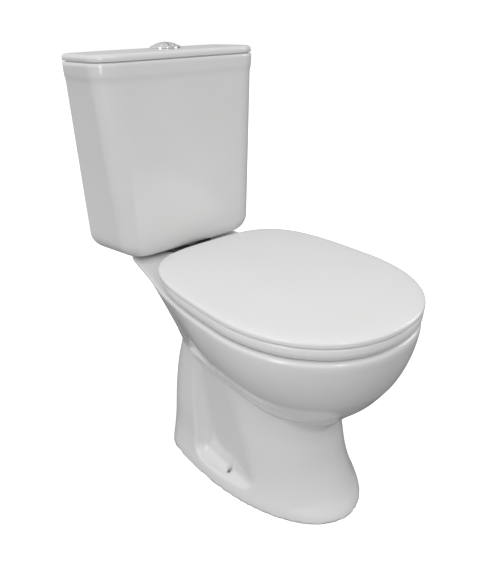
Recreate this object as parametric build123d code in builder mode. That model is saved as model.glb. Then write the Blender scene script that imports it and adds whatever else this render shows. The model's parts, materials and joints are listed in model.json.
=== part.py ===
"""Close coupled toilet: pan, cistern, flush and fill valves, seat and cover, each piece its own solid.

Millimetres. +Z up, -Y is the front of the bowl, +Y the wall. The origin is on the floor, in the middle
of the object's plan box.
"""
from build123d import *
import os
from math import copysign, cos, pi, sin

os.makedirs("parts", exist_ok=True)

# ---------------------------------------------------------------- driving dimensions
FRONT_Y, WALL_Y = -330.0, 330.0
RIM_Z = 392.0                       # top of the pan's rim and rear deck
CHINA = 12.0                        # china wall
DECK_PLATE = 14.0                   # china between the deck's top and its hollow
DECK_REAR = 296.0
SEAT_BOTTOM, SEAT_TOP = 395.0, 416.0
COVER_BOTTOM, COVER_EDGE_TOP, COVER_TOP = 417.5, 428.0, 437.0
HINGE_Y, HINGE_Z = 126.0, 410.0
HINGE_X = 77.5
PIN_R, RUNNING = 3.0, 0.05
TANK_BOTTOM, TANK_TOP = 399.0, 765.0
TANK_WALL, TANK_FLOOR = 9.0, 12.0
LID_TOP = 781.0
VALVE_Y = 250.0                     # flush valve, inlet of the deck and push button
COUPLING_X = 75.0                   # bolts that hold the cistern to the deck
FILL_X, FILL_Y = 114.0, 285.0       # fill valve and its inlet tail
INLET_R, SHANK_R = 10.4, 11.0       # thread of the inlet, shank through the tank
OUTLET_Z, OUTLET_R = 190.0, 51.0    # waste spigot
FLOOR_FIX_X, FLOOR_FIX_Y, FLOOR_FIX_R = 112.0, -50.0, 4.5
ROD_X = 17.5                        # push rods, one under each button
FLOAT_X, LEVER_X, LEVER_Z = 58.0, 104.0, 688.0
TANK_INSIDE = TANK_BOTTOM + TANK_FLOOR
DECK_UNDER = RIM_Z - DECK_PLATE
UP = (Align.CENTER, Align.CENTER, Align.MIN)
DOWN = (Align.CENTER, Align.CENTER, Align.MAX)
COUPLING = [(-COUPLING_X, VALVE_Y), (COUPLING_X, VALVE_Y)]
HINGES = [(-HINGE_X, HINGE_Y), (HINGE_X, HINGE_Y)]
VALVE = [(0, VALVE_Y)]
FILL = [(FILL_X, FILL_Y)]
FLOOR_FIXINGS = [(-FLOOR_FIX_X, FLOOR_FIX_Y), (FLOOR_FIX_X, FLOOR_FIX_Y)]


def at(places, z):
    """The given plan positions at height z."""
    return [(x, y, z) for x, y in places]


def save(piece, name):
    """Label a finished piece and write it as one STEP file."""
    piece.part.label = name
    export_step(piece.part, "parts/" + name + ".step")


def egg(z, half_width, front, widest, rear, front_power, rear_power, count=24):
    """Egg shaped face at height z: a superellipse in front of the widest line, another behind it."""
    points = []
    for i in range(count):
        turn = 2 * pi * (i + 0.5) / count
        c, s = cos(turn), sin(turn)
        power, reach = (front_power, widest - front) if s < 0 else (rear_power, rear - widest)
        x = half_width * copysign(abs(c) ** (2 / power), c)
        y = widest + reach * copysign(abs(s) ** (2 / power), s)
        points.append((x, y))
    with BuildSketch(Plane.XY.offset(z)) as sketch:
        with BuildLine():
            Spline(*points, periodic=True)
        make_face()
    return sketch.sketch


def seat_outline(z, inset=0.0, rear_inset=0.0):
    """Outline shared by the seat ring and the cover."""
    return egg(z, 175.6 - inset, FRONT_Y + inset, -113, 138 - inset - rear_inset, 2.17, 3.85)


def tank_outline(z, inset=0.0, front=180.0, front_half=164.0, back_half=170.0, back=WALL_Y):
    """Plan of the cistern: wider at the wall, with large corners at the front."""
    taper = (TANK_TOP - z) / (TANK_TOP - 420)
    front_half = front_half - 23 * taper
    front_y = front + 10 * taper
    with BuildSketch(Plane.XY.offset(z)) as sketch:
        with BuildLine():
            Polyline(
                (-front_half + inset, front_y + inset),
                (front_half - inset, front_y + inset),
                (back_half - inset, back - inset),
                (-back_half + inset, back - inset),
                close=True,
            )
        make_face()
        fillet(sketch.vertices().group_by(Axis.Y)[0], radius=max(44 - inset, 12))
        fillet(sketch.vertices().group_by(Axis.Y)[-1], radius=max(18 - inset, 8))
    return sketch.sketch


# ---------------------------------------------------------------- pan
PAN_POINTS = 8                      # points in each of the pan's smooth outlines
BOWL = [  # height, half width, front, rear
    (160, 62, -200, 60),
    (211, 96, -251, 96),
    (245, 119, -277, 102),
    (278, 137, -294, 106),
    (325, 160, -314, 124),
    (369, 171, -324, 132),
    (RIM_Z, 173, -326, 136),
]
PEDESTAL = [  # height, half width, front, rear
    (0, 143, -248, 150),
    (16, 142, -245, 150),
    (34, 133, -235, 146),
    (60, 121, -221, 141),
    (110, 114, -207, 136),
    (160, 111, -203, 134),
    (230, 110, -212, 122),
    (300, 109, -216, 112),
]
HOLLOW = [(-1, 130, -235), (7, 128, -231), (20, 98, -216), (215, 98, -190)]  # height, half width, front
BASIN = [  # height, half width, front, rear: the inside of the bowl
    (104, 34, -118, -44),
    (150, 50, -160, -24),
    (200, 78, -214, 2),
    (260, 112, -262, 20),
    (320, 142, -296, 24),
    (366, 154, -306, 26),
]
CHANNEL_Z, CHANNEL_H = 352, 18      # flush channel under the deck
PAN_LAYERS = [("pan_foot", -20, 125), ("pan_waist", 125, 245), ("pan_bowl", 245, 340), ("pan_rim", 340, 420)]
RECESS_X = 108                      # plane of the recessed side panels
TRAP = Location((0, 10, 165), (-50, 0, 0))


def pan_egg(z, half_width, front, widest, rear, rear_power=2.6, front_power=2.2):
    return egg(z, half_width, front, widest, rear, front_power, rear_power, PAN_POINTS)


with BuildPart() as pan:
    # rear deck: the plan outline cut to a side profile that rises towards the wall
    with BuildSketch(Plane.XY.offset(300)) as deck_plan:
        with BuildLine():
            Polyline((-158, 20), (158, 20), (150, 124), (131, 221), (118, DECK_REAR),
                     (-118, DECK_REAR), (-131, 221), (-150, 124), close=True)
        make_face()
        fillet(deck_plan.vertices().group_by(Axis.Y)[-1], radius=60)
    extrude(amount=RIM_Z - 300)
    with BuildSketch(Plane.YZ.offset(-200)) as deck_side:
        with BuildLine():
            Polyline((10, RIM_Z), (DECK_REAR, RIM_Z), (DECK_REAR, 378))
            Spline((DECK_REAR, 378), (267, 372), (204, 352), (124, 324))
            Polyline((124, 324), (10, 324), (10, RIM_Z))
        make_face()
    extrude(amount=400, mode=Mode.INTERSECT)
    # bowl, pedestal and the hollow of the pedestal, open at the floor and at the back
    loft(sections=[pan_egg(z, w, f, -113 if z > 250 else -80, r) for z, w, f, r in BOWL])
    loft(sections=[pan_egg(z, w, f, 30, r, 5, 2.5) for z, w, f, r in PEDESTAL])
    loft(sections=[pan_egg(z, w, f, 20, 112, 5, 2.5) for z, w, f in HOLLOW],
         ruled=True, mode=Mode.SUBTRACT)
    with Locations((0, 180, 60)):
        Box(184, 270, DECK_UNDER - 60, align=UP, mode=Mode.SUBTRACT)
    with Locations((0, 130, -1)):
        Box(184, 120, 100, align=UP, mode=Mode.SUBTRACT)
    # recess in each side panel, above the foot that takes the floor fixing
    for side in (-1, 1):
        with BuildSketch(Plane.YZ.offset(side * RECESS_X)) as recess:
            with BuildLine():
                Polyline((-118, 30), (40, 30), (58, 222), (-142, 222), close=True)
            make_face()
            fillet(recess.vertices(), radius=14)
        extrude(amount=side * 60, mode=Mode.SUBTRACT)
    with Locations(*at(FLOOR_FIXINGS, 0)):
        Cylinder(11, 28, align=UP)
    # walls of the basin, of the flush channel, of the trap and of the waste spigot
    loft(sections=[pan_egg(z - 10, w + CHINA, f - CHINA, -60, r + CHINA, 2.4) for z, w, f, r in BASIN[:4]])
    with Locations((0, VALVE_Y, CHANNEL_Z - 10)):
        Cylinder(54, DECK_UNDER - CHANNEL_Z + 10, align=UP)
    with Locations((0, 135, CHANNEL_Z - 10)):
        Box(84, 230, DECK_UNDER - CHANNEL_Z + 10, align=UP)
    with Locations(TRAP):
        Cylinder(38, 120)
    with Locations(Location((0, 81, OUTLET_Z), (-90, 0, 0))):
        Cylinder(OUTLET_R + 3, 166)
    with Locations(Location((0, 179, OUTLET_Z), (-90, 0, 0))):
        Cylinder(OUTLET_R, 30)
    # the spaces inside them
    extrude(pan_egg(340, 116, -272, -80, 24, 2.4), amount=60, mode=Mode.SUBTRACT)
    loft(sections=[pan_egg(z, w, f, -70, r, 2.4) for z, w, f, r in BASIN], mode=Mode.SUBTRACT)
    with Locations((0, VALVE_Y, CHANNEL_Z)):
        Cylinder(43, 50, align=UP, mode=Mode.SUBTRACT)
    with Locations((0, 130, CHANNEL_Z)):
        Box(60, 240, CHANNEL_H, align=UP, mode=Mode.SUBTRACT)
    with Locations(TRAP):
        Cylinder(27, 120, mode=Mode.SUBTRACT)
    with Locations(Location((0, 110, OUTLET_Z), (-90, 0, 0))):
        Cylinder(OUTLET_R - 9, 200, mode=Mode.SUBTRACT)
    # holes for the seat, the cistern and the floor fixings
    with Locations(*at(COUPLING + HINGES, 370)):
        Cylinder(6.5, 40, align=UP, mode=Mode.SUBTRACT)
    with Locations(*at(FLOOR_FIXINGS, -5)):
        Cylinder(FLOOR_FIX_R, 60, align=UP, mode=Mode.SUBTRACT)
    # room for the inlet beside the deck
    with Locations((-FILL_X, FILL_Y, 340), (FILL_X, FILL_Y, 340)):
        Cylinder(20, 80, align=UP, mode=Mode.SUBTRACT)

# the china is one piece; it is written as level layers that meet face to face, so that each stays simple
for name, low, high in PAN_LAYERS:
    with BuildPart() as layer:
        add(pan.part)
        with Locations((0, 0, low)):
            Box(800, 800, high - low, align=UP, mode=Mode.INTERSECT)
    save(layer, name)


# ---------------------------------------------------------------- cistern
with BuildPart() as cistern_tank:
    loft(sections=[tank_outline(TANK_BOTTOM + rise, inset, back=WALL_Y + 2)
                   for rise, inset in ((0, 30), (4, 17), (12, 8), (30, 0), (TANK_TOP - TANK_BOTTOM, 0))],
         ruled=True)
    with Locations((0, WALL_Y, TANK_BOTTOM - 10)):
        Box(500, 20, 500, align=(Align.CENTER, Align.MIN, Align.MIN), mode=Mode.SUBTRACT)
    loft(sections=[tank_outline(TANK_BOTTOM + rise, inset)
                   for rise, inset in ((12, 22), (20, 14), (36, TANK_WALL), (370, TANK_WALL))],
         ruled=True, mode=Mode.SUBTRACT)
    with Locations((0, VALVE_Y, TANK_BOTTOM)):
        Cylinder(26.5, 60, mode=Mode.SUBTRACT)
    with Locations((-COUPLING_X, VALVE_Y, TANK_BOTTOM), (COUPLING_X, VALVE_Y, TANK_BOTTOM)):
        Cylinder(5, 60, mode=Mode.SUBTRACT)
    with Locations((FILL_X, FILL_Y, TANK_BOTTOM)):
        Cylinder(SHANK_R + 0.4, 60, mode=Mode.SUBTRACT)
save(cistern_tank, "cistern_tank")

with BuildPart() as cistern_lid:
    extrude(tank_outline(TANK_TOP, front=179, back_half=169), amount=LID_TOP - TANK_TOP)
    fillet(cistern_lid.faces().sort_by(Axis.Z)[-1].edges(), radius=5)
    extrude(tank_outline(TANK_TOP, 24), amount=7, mode=Mode.SUBTRACT)
    extrude(tank_outline(TANK_TOP, TANK_WALL + 2), amount=-9)
    extrude(tank_outline(TANK_TOP + 7, 24), amount=-20, mode=Mode.SUBTRACT)
    with Locations((0, VALVE_Y, LID_TOP)):
        Cylinder(25, 60, mode=Mode.SUBTRACT)
save(cistern_lid, "cistern_lid")


# ---------------------------------------------------------------- small turned pieces
def turned(name, places, steps):
    """A group of turned pieces: each step is (outer radius, inner radius, bottom, top)."""
    with BuildPart() as piece:
        for outer, inner, bottom, top in steps:
            with Locations(*at(places, bottom)):
                Cylinder(outer, top - bottom, align=UP)
        for outer, inner, bottom, top in steps:
            if inner:
                with Locations(*at(places, bottom)):
                    Cylinder(inner, top - bottom, align=UP,
                             mode=Mode.SUBTRACT)
    save(piece, name)


def wing_nuts(name, places, top, hole, hub, span):
    """Wing nuts under the deck: a round hub with two upright wings along X."""
    with BuildPart() as piece:
        with Locations(*at(places, top)):
            Cylinder(hub, 10, align=DOWN)
        with Locations(*at(places, top - 4)):
            Box(span, 4, 14, align=DOWN)
        with Locations(*at(places, top)):
            Cylinder(hole, 60, mode=Mode.SUBTRACT)
    save(piece, name)



turned("coupling_gasket", VALVE, [(62, 43.5, RIM_Z, TANK_BOTTOM)])
turned("cistern_bolts", COUPLING, [(9, 0, TANK_INSIDE + 4, TANK_INSIDE + 9), (4, 0, 346, TANK_INSIDE + 4)])
turned("cistern_bolt_seals", COUPLING, [(13, 4, TANK_INSIDE, TANK_INSIDE + 4)])
turned("cistern_bolt_washers", COUPLING, [(13, 4, DECK_UNDER - 3, DECK_UNDER)])
wing_nuts("cistern_wing_nuts", COUPLING, DECK_UNDER - 3, 4, 8, 32)

# ---------------------------------------------------------------- flush valve
SEAT_LIP = TANK_INSIDE + 9
with BuildPart() as flush_valve_body:
    with Locations((0, VALVE_Y, 382)):
        Cylinder(26, TANK_INSIDE + 7 - 382, align=UP)
    with Locations((0, VALVE_Y, TANK_INSIDE + 3)):
        Cylinder(36, 4, align=UP)
    with Locations((0, VALVE_Y, TANK_INSIDE + 7)):
        Cylinder(26, 2, align=UP)
    with Locations((0, VALVE_Y, 640)):
        Cylinder(37, 12, align=UP)
    with Locations((0, VALVE_Y, TANK_INSIDE + 7)):
        with PolarLocations(33.5, 4, start_angle=45):
            Box(5, 12, 640 - TANK_INSIDE - 7, align=UP)
    with Locations((0, VALVE_Y, 382)):
        Cylinder(22, SEAT_LIP - 382, align=UP, mode=Mode.SUBTRACT)
    with Locations((0, VALVE_Y, 640)):
        Cylinder(14.5, 12, align=UP, mode=Mode.SUBTRACT)
save(flush_valve_body, "flush_valve_body")

turned("flush_valve_washer", VALVE, [(36, 26, TANK_INSIDE, TANK_INSIDE + 3)])
turned("flush_valve_backnut", VALVE, [(38, 26, 387, TANK_BOTTOM)])
turned("flush_valve_seal", VALVE, [(28, 11, SEAT_LIP, SEAT_LIP + 4)])
turned("flush_valve_piston", VALVE, [(27, 11, SEAT_LIP + 4, SEAT_LIP + 8), (14, 11, SEAT_LIP + 8, 664)])

# ---------------------------------------------------------------- fill valve
with BuildPart() as fill_valve_body:
    with Locations((FILL_X, FILL_Y, 350)):
        Cylinder(INLET_R, 30, align=UP)
    with Locations((FILL_X, FILL_Y, 380)):
        Cylinder(SHANK_R, TANK_INSIDE + 3 - 380, align=UP)
    with Locations((FILL_X, FILL_Y, TANK_INSIDE + 3)):
        Cylinder(14, 4, align=UP)
    with Locations((FILL_X, FILL_Y, TANK_INSIDE + 7)):
        Cylinder(10, 660 - TANK_INSIDE - 7, align=UP)
    with Locations((FILL_X, FILL_Y, 660)):
        Cylinder(15, 16, align=UP)
    with Locations((LEVER_X, FILL_Y - 6.5, 670), (LEVER_X, FILL_Y + 6.5, 670)):
        Box(10, 3, 24, align=UP)
    with Locations(Location((LEVER_X, FILL_Y, LEVER_Z), (90, 0, 0))):
        Cylinder(2, 40, mode=Mode.SUBTRACT)
    with Locations((FILL_X, FILL_Y, 350)):
        Cylinder(4, 320, align=UP, mode=Mode.SUBTRACT)
save(fill_valve_body, "fill_valve_body")

turned("fill_valve_washer", FILL, [(14, SHANK_R, TANK_INSIDE, TANK_INSIDE + 3)])
turned("fill_valve_backnut", FILL, [(15.5, SHANK_R, 386, TANK_BOTTOM)])
turned("fill_valve_float", [(FLOAT_X, FILL_Y)], [(17, 0, 590, 645), (2.5, 0, 645, LEVER_Z - 4)])

with BuildPart() as fill_valve_lever:
    with Locations(((FLOAT_X + LEVER_X) / 2, FILL_Y, LEVER_Z)):
        Box(LEVER_X - FLOAT_X + 12, 8, 6)
    with Locations(Location((LEVER_X, FILL_Y, LEVER_Z), (90, 0, 0))):
        Cylinder(2 + RUNNING, 20, mode=Mode.SUBTRACT)
save(fill_valve_lever, "fill_valve_lever")

with BuildPart() as fill_valve_pin:
    with Locations(Location((LEVER_X, FILL_Y, LEVER_Z), (90, 0, 0))):
        Cylinder(2, 17)
save(fill_valve_pin, "fill_valve_pin")

# ---------------------------------------------------------------- push button in the lid
BEZEL_BOTTOM, TUBE_R, TUBE_BORE = 742.0, 24.5, 22.0
BUTTON_R, BUTTON_BOTTOM, BUTTON_TOP = 21.5, 777.0, 791.0
SPLIT_X, SPLIT_GAP = -4.0, 1.2      # line between the two buttons
RODS = {"large": ROD_X, "small": -ROD_X}

with BuildPart() as button_bezel:
    with Locations((0, VALVE_Y, BEZEL_BOTTOM)):
        Cylinder(TUBE_R, LID_TOP - BEZEL_BOTTOM, align=UP)
    with Locations((0, VALVE_Y, LID_TOP)):
        Cylinder(29, 4.5, align=UP)
    chamfer(button_bezel.faces().sort_by(Axis.Z)[-1].edges(), 3)
    with Locations((0, VALVE_Y, BEZEL_BOTTOM + 3)):
        Cylinder(TUBE_BORE, 60, align=UP, mode=Mode.SUBTRACT)
    with Locations((-ROD_X, VALVE_Y, BEZEL_BOTTOM), (ROD_X, VALVE_Y, BEZEL_BOTTOM)):
        Cylinder(3, 20, mode=Mode.SUBTRACT)
save(button_bezel, "button_bezel")

turned("button_nut", VALVE, [(34, TUBE_R, TANK_TOP - 1, TANK_TOP + 7)])

for size, rod_x in RODS.items():
    with BuildPart() as button:
        with Locations((0, VALVE_Y, BUTTON_BOTTOM)):
            Cylinder(BUTTON_R, BUTTON_TOP - BUTTON_BOTTOM, align=UP)
        fillet(button.faces().sort_by(Axis.Z)[-1].edges(), radius=5)
        cut_side = Align.MAX if size == "large" else Align.MIN
        cut_x = SPLIT_X + (SPLIT_GAP / 2 if size == "large" else -SPLIT_GAP / 2)
        with Locations((cut_x, VALVE_Y, BUTTON_BOTTOM - 5)):
            Box(80, 80, 40, align=(cut_side, Align.CENTER, Align.MIN), mode=Mode.SUBTRACT)
    save(button, "flush_button_" + size)
    turned("push_rod_" + size, [(rod_x, VALVE_Y)], [(2.5, 0, 659, BUTTON_BOTTOM)])
    with BuildPart() as spring:
        with BuildLine(Plane.XY.offset(BEZEL_BOTTOM + 3.6)) as coil:
            Helix(pitch=4.8, height=BUTTON_BOTTOM - BEZEL_BOTTOM - 4.2, radius=3.4, center=(rod_x, VALVE_Y, 0))
        with BuildSketch(Plane(origin=coil.line @ 0, z_dir=coil.line % 0)):
            Circle(0.5)
        sweep(path=coil.line, is_frenet=True)
    save(spring, "button_spring_" + size)

# ---------------------------------------------------------------- seat and cover
NOTCH_IN, NOTCH_OUT = 67.5, 100.5   # notch in the seat ring for one hinge post and one cover lug
PIN_IN, PIN_OUT = 55.0, 112.0
LUG_IN, LUG_OUT = 87.5, 99.5
BUFFERS = [(-134, -190), (134, -190), (-134, 10), (134, 10)]


def bar_x(radius, low, high, sides=(-1, 1), mode=Mode.ADD):
    """Round bars, or bores, along the hinge line, one on each side."""
    with Locations(*[Location((side * (low + high) / 2, HINGE_Y, HINGE_Z), (0, 90, 0)) for side in sides]):
        Cylinder(radius, high - low, mode=mode)


with BuildPart() as seat_ring:
    extrude(seat_outline(SEAT_BOTTOM, 1, rear_inset=7), amount=SEAT_TOP - SEAT_BOTTOM)
    fillet(seat_ring.faces().sort_by(Axis.Z)[-1].edges(), radius=6)
    chamfer(seat_ring.faces().sort_by(Axis.Z)[0].edges(), 4)
    extrude(egg(SEAT_BOTTOM - 5, 118, -264, -110, 24, 2.1, 2.3), amount=40, mode=Mode.SUBTRACT)
    with Locations(*[(side * (NOTCH_IN + NOTCH_OUT) / 2, HINGE_Y - 12, SEAT_BOTTOM - 5) for side in (-1, 1)]):
        Box(NOTCH_OUT - NOTCH_IN, 60, 40, align=(Align.CENTER, Align.MIN, Align.MIN), mode=Mode.SUBTRACT)
    bar_x(PIN_R + RUNNING, PIN_IN - 1, PIN_OUT + 1, mode=Mode.SUBTRACT)
save(seat_ring, "seat_ring")

with BuildPart() as seat_cover:
    extrude(seat_outline(COVER_BOTTOM), amount=COVER_EDGE_TOP - COVER_BOTTOM)
    loft(sections=[seat_outline(COVER_EDGE_TOP + rise, inset) for rise, inset in (
        (0, 0), (2, 2), (3.6, 6), (5.6, 18), (7.6, 44), (COVER_TOP - COVER_EDGE_TOP, 84))], ruled=True)
    extrude(seat_outline(COVER_BOTTOM, 9), amount=5, mode=Mode.SUBTRACT)
    with Locations(*[(side * (LUG_IN + LUG_OUT) / 2, HINGE_Y, HINGE_Z) for side in (-1, 1)]):
        Box(LUG_OUT - LUG_IN, 14, 15, align=UP)
    bar_x(7, LUG_IN, LUG_OUT)
    bar_x(PIN_R + RUNNING, LUG_IN - 1, LUG_OUT + 1, mode=Mode.SUBTRACT)
save(seat_cover, "seat_cover")

turned("seat_ring_buffers", BUFFERS, [(8, 0, RIM_Z, SEAT_BOTTOM)])
turned("seat_cover_buffers", BUFFERS, [(6, 0, SEAT_TOP, COVER_BOTTOM + 5)])

with BuildPart() as hinge_posts:
    with Locations(*at(HINGES, RIM_Z)):
        Box(18, 13, HINGE_Z - RIM_Z, align=UP)
    with Locations(*at([(x, y + 3) for x, y in HINGES], RIM_Z)):
        Box(18, 26, 5, align=UP)
    bar_x(6.5, HINGE_X - 9, HINGE_X + 9)
    bar_x(PIN_R, HINGE_X - 12, HINGE_X + 12, mode=Mode.SUBTRACT)
    with Locations(*at(HINGES, RIM_Z)):
        Cylinder(3.5, 8, align=UP, mode=Mode.SUBTRACT)
save(hinge_posts, "hinge_posts")

with BuildPart() as hinge_pins:
    bar_x(PIN_R, PIN_IN, PIN_OUT)
save(hinge_pins, "hinge_pins")

turned("hinge_bolts", HINGES, [(3.5, 0, 348, RIM_Z + 8)])
turned("hinge_washers", HINGES, [(12, 3.5, DECK_UNDER - 3, DECK_UNDER)])
wing_nuts("hinge_wing_nuts", HINGES, DECK_UNDER - 3, 3.5, 8, 26)
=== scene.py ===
"""Looks of the close coupled toilet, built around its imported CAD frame.

Shapes are worked out in millimetres, in the frame's own axes, and written as metres.
The pan is one smooth field (a signed distance, negative inside the china) turned into a mesh. The cistern, lid,
seat ring and cover are closed meshes of stacked outlines.
"""
import json
from math import cos, pi, radians, sin

import bmesh
import bpy
import numpy as np
from mathutils import Matrix, Vector


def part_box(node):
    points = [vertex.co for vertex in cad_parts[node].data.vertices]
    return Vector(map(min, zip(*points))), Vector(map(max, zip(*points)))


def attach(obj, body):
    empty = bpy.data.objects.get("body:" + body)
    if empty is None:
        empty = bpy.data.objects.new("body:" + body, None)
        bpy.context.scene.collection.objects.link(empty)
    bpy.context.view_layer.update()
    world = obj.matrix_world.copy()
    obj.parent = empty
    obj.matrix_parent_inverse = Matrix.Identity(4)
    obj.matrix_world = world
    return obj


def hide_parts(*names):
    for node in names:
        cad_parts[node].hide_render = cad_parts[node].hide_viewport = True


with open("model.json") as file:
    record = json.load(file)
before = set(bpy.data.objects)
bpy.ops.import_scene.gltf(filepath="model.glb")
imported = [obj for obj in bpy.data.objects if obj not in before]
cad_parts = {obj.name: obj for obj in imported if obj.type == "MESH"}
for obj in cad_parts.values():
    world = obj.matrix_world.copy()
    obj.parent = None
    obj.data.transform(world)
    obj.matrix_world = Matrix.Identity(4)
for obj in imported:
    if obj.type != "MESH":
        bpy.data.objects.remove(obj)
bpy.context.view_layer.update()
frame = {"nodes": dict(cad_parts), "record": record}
MM = 0.001


def cad_mm(*nodes):
    """Lowest and highest corner of CAD nodes together, in millimetres."""
    boxes = np.array([[tuple(corner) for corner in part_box(node)] for node in nodes]) / MM
    return boxes[:, 0].min(0), boxes[:, 1].max(0)


PAN = [name for name in frame["nodes"] if name.startswith("pan")]
RIM_Z = cad_mm(*PAN)[1][2]
FRONT_Y = cad_mm("seat_cover")[0][1]
WALL_Y = cad_mm("cistern_tank")[1][1]
SEAT_BOTTOM, SEAT_TOP = cad_mm("seat_ring")[0][2], cad_mm("seat_ring")[1][2]
TANK_BOTTOM, TANK_TOP = cad_mm("cistern_tank")[0][2], cad_mm("cistern_tank")[1][2]
LID_TOP = cad_mm("cistern_lid")[1][2]
COVER_TOP = cad_mm("seat_cover")[1][2]
COVER_BOTTOM = SEAT_TOP + 1.5
VALVE_Y = float(np.mean([cad_mm("button_bezel")[0][1], cad_mm("button_bezel")[1][1]]))
HINGE_PIN_R = 3
HINGE_Y, HINGE_Z = cad_mm("hinge_pins")[0][1:] + HINGE_PIN_R
OUTLET_Z, OUTLET_R = 190.0, 51.0
COUPLING_X, HINGE_X = 75.0, 77.5
FILL_VALVE = (114, 285)             # x, y of the fill valve's tail
FLOOR_FIX, FLOOR_FIX_R = (112.0, -50.0), 5.6     # x, y and radius of the floor fixing holes
DECK_REAR = 296                     # y of the deck's rear edge
TANK_MIDDLE = 258                   # y of the middle of the cistern's plan
FLOOR_BOUNCE = 0.24                 # how much light the floor gives back to the object


# ---------------------------------------------------------------- small numeric tools
def curve(t, knots):
    """Smooth curve through the knots, without overshoot (monotone cubic)."""
    kx = np.array([k[0] for k in knots], float)
    ky = np.array([k[1] for k in knots], float)
    h = np.diff(kx)
    d = np.diff(ky) / h
    m = np.zeros_like(kx)
    same = d[1:] * d[:-1] > 0
    w1, w2 = 2 * h[1:] + h[:-1], h[1:] + 2 * h[:-1]
    with np.errstate(divide="ignore", invalid="ignore"):
        inner = (w1 + w2) / (w1 / d[:-1] + w2 / d[1:])
    m[1:-1] = np.where(same, inner, 0)
    m[0], m[-1] = d[0], d[-1]
    t = np.clip(t, kx[0], kx[-1])
    i = np.clip(np.searchsorted(kx, t, side="right") - 1, 0, len(h) - 1)
    s = (t - kx[i]) / h[i]
    a, b = ky[i], ky[i + 1]
    return (a * (1 + 2 * s) * (1 - s) ** 2 + m[i] * h[i] * s * (1 - s) ** 2
            + b * s * s * (3 - 2 * s) + m[i + 1] * h[i] * s * s * (s - 1))


def step(t):
    """0 below 0, 1 above 1, smooth between."""
    t = np.clip(t, 0, 1)
    return t * t * (3 - 2 * t)


def join_soft(a, b, k):
    """Union of two fields with a fillet of about k."""
    h = np.clip(0.5 + 0.5 * (b - a) / k, 0, 1)
    return b * (1 - h) + a * h - k * h * (1 - h)


def meet_soft(a, b, k):
    """Intersection of two fields with a rounded edge of about k."""
    return -join_soft(-a, -b, k)


def egg_field(x, y, half_width, front, widest, rear, front_power, rear_power):
    """Field of an upright egg shaped wall."""
    ahead = y < widest
    reach = np.where(ahead, widest - front, rear - widest)
    power = np.where(ahead, front_power, rear_power)
    u, v = np.abs(x) / half_width, np.abs(y - widest) / reach
    norm = (np.maximum(u, 1e-6) ** power + np.maximum(v, 1e-6) ** power) ** (1 / power)
    return (norm - 1) * half_width


def slab(value, low, high):
    """Field of low < value < high."""
    return np.maximum(low - value, value - high)


# ---------------------------------------------------------------- the pan as a field
WIDEST_Y = -113.0
CREASE_HALF = 110.0                 # half width where the bowl meets the side panels
# Each table is a curve: (z, y) for fronts and rears, (z, half width) for halves,
# and (y, ...) for the rim's half width and the heights of the crease and the underside.
FRONT_PROFILE = [(190, -150), (196, -178), (203, -201), (213, -223), (226, -244), (241, -261), (258, -278),
                 (278, -292), (300, -305), (325, -315), (350, -322), (369, -325.5), (381, -327), (392, -327)]
RIM_HALF = [(-113, 176), (-40, 174.5), (40, 168), (124, 151), (221, 131), (262, 124), (300, 118)]
CREASE_Z = [(-146, 234), (-45, 237), (57, 246), (102, 281), (124, 322), (204, 352), (267, 371), (296, 378)]
UNDER_Z = [(-330, 150), (0, 150), (57, 244), (102, 281), (124, 322), (204, 352), (267, 371), (296, 378)]
FOOT_HALF = [(0, 144), (12, 142), (30, 137), (60, 131), (120, 125.5), (180, 118.5), (245, 111), (300, 108)]
FOOT_FRONT = [(0, -256), (12, -250), (30, -239), (60, -225), (90, -215), (120, -209), (160, -204), (200, -204),
              (240, -210)]
FOOT_REAR = [(0, 155), (40, 157), (90, 154), (164, 149), (210, 141), (255, 126), (300, 114)]
RECESS_FRONT = [(30, -116), (60, -124), (110, -132), (170, -138), (260, -142)]
RECESS_REAR = [(30, 36), (110, 46), (260, 70)]
PANEL_HALF = [(30, 109), (120, 107), (260, 106)]
HOLLOW_HALF = [(0, 124), (7, 120), (22, 90), (215, 88)]
HOLLOW_FRONT = [(0, -234), (7, -228), (22, -196), (215, -182)]
BASIN_HALF = [(104, 34), (150, 48), (200, 68), (250, 86), (275, 103), (320, 140), (366, 154)]
BASIN_FRONT = [(104, -118), (150, -160), (200, -214), (260, -262), (320, -296), (366, -306)]
BASIN_REAR = [(104, -44), (150, -24), (200, 2), (260, 20), (320, 24), (366, 26)]
CHINA = 12.0                        # thickness of the basin's china
EGG = 2.17                          # power of the plan's curve: 2 is an ellipse, more is squarer
FOOT_EGG = 2.03
SQUARE = 5                          # power of the foot's squarer rear
TRAP = ((0, -36, 126), (0, 56, 204))            # the bent passage from the sump to the outlet
INLET_LOW, INLET_HIGH = (0, VALVE_Y, 342), (0, VALVE_Y, 380)


def tube_field(x, y, z, start, end, radius):
    """Field of a round bar from start to end."""
    a, b = np.array(start, float), np.array(end, float)
    axis = (b - a) / np.linalg.norm(b - a)
    d = np.stack([x - a[0], y - a[1], z - a[2]], -1)
    along = d @ axis
    away = np.linalg.norm(d - along[:, None] * axis, axis=1)
    return np.maximum(away - radius, slab(along, 0, np.linalg.norm(b - a)))


def bowl_and_deck(x, y, z):
    """Outside of the bowl, its rim and the rear deck."""
    t = (z - curve(y, CREASE_Z)) / (RIM_Z - curve(y, CREASE_Z))
    bulge = 1 - step((y + 80) / 140)        # full belly in front, straighter flank to the rear
    half = CREASE_HALF + (curve(y, RIM_HALF) - CREASE_HALF) * ((1 + bulge) * t - bulge * t * t)
    ahead = egg_field(x, y, np.maximum(half, 12), curve(z, FRONT_PROFILE), WIDEST_Y, 900, EGG, EGG)
    side = np.where(y < WIDEST_Y, ahead, x - half)
    side = meet_soft(side, y - DECK_REAR, 70)
    body = meet_soft(side, (curve(y, UNDER_Z) - z) * 0.85, 7)
    return meet_soft(body, z - RIM_Z, 8)


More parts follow.
